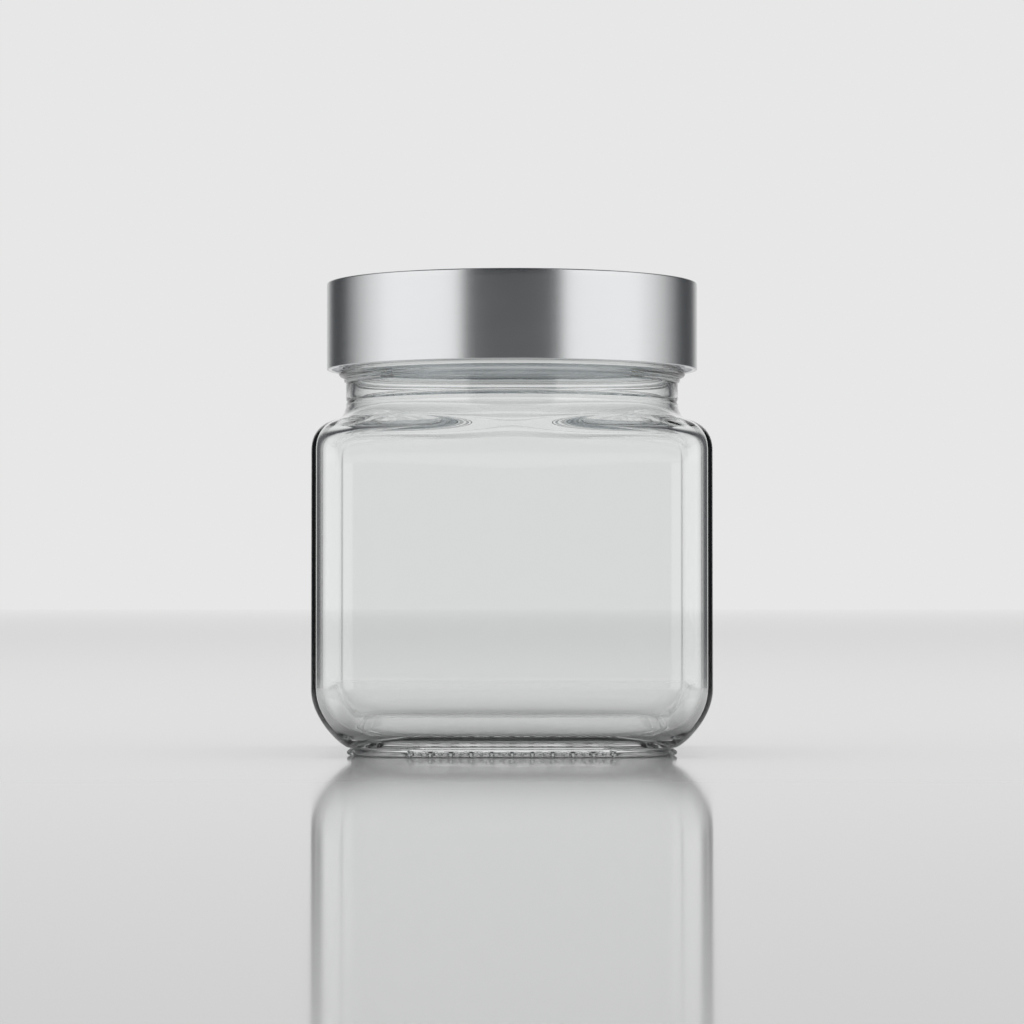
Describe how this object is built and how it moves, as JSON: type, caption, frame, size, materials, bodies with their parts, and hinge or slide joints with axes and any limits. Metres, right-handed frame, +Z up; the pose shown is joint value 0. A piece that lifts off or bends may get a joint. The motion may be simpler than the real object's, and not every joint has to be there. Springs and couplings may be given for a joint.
{
  "type": "lidded glass canister",
  "caption": "Square glass storage canister with a round neck and a brushed steel screw lid that unscrews and lifts off.",
  "frame": {"origin": "middle of the base, on the surface the jar stands on", "axes": "+Z up along the lid's axis, front face towards -Y, +X to the right"},
  "size_m": [0.0596, 0.0596, 0.0724],
  "materials": {
    "clear_glass": "clear polished glass with a faint grey-green tint",
    "brushed_steel": "fine brushing around the lid's side",
    "satin_aluminium": "smooth satin aluminium",
    "seal": "soft translucent silicone"
  },
  "bodies": {
    "jar": {"glass_jar": "clear_glass"},
    "seal": {"lid_seal": "seal"},
    "lid": {"lid_shell": "brushed_steel", "lid_insert": "satin_aluminium"}
  },
  "joints": [
    {"name": "lid_lift", "type": "slide", "parent": "jar", "child": "seal", "axis": [0, 0, 1], "range_m": [0, 0.024]},
    {"name": "lid_turn", "type": "hinge", "parent": "seal", "child": "lid", "pos_m": [0, 0, 0.0695], "axis": [0, 0, 1], "range_deg": [0, 720]}
  ],
  "couplings": [
    {"joint": "lid_lift", "follows": "lid_turn", "m_per_rad": 0.0019099}
  ]
}
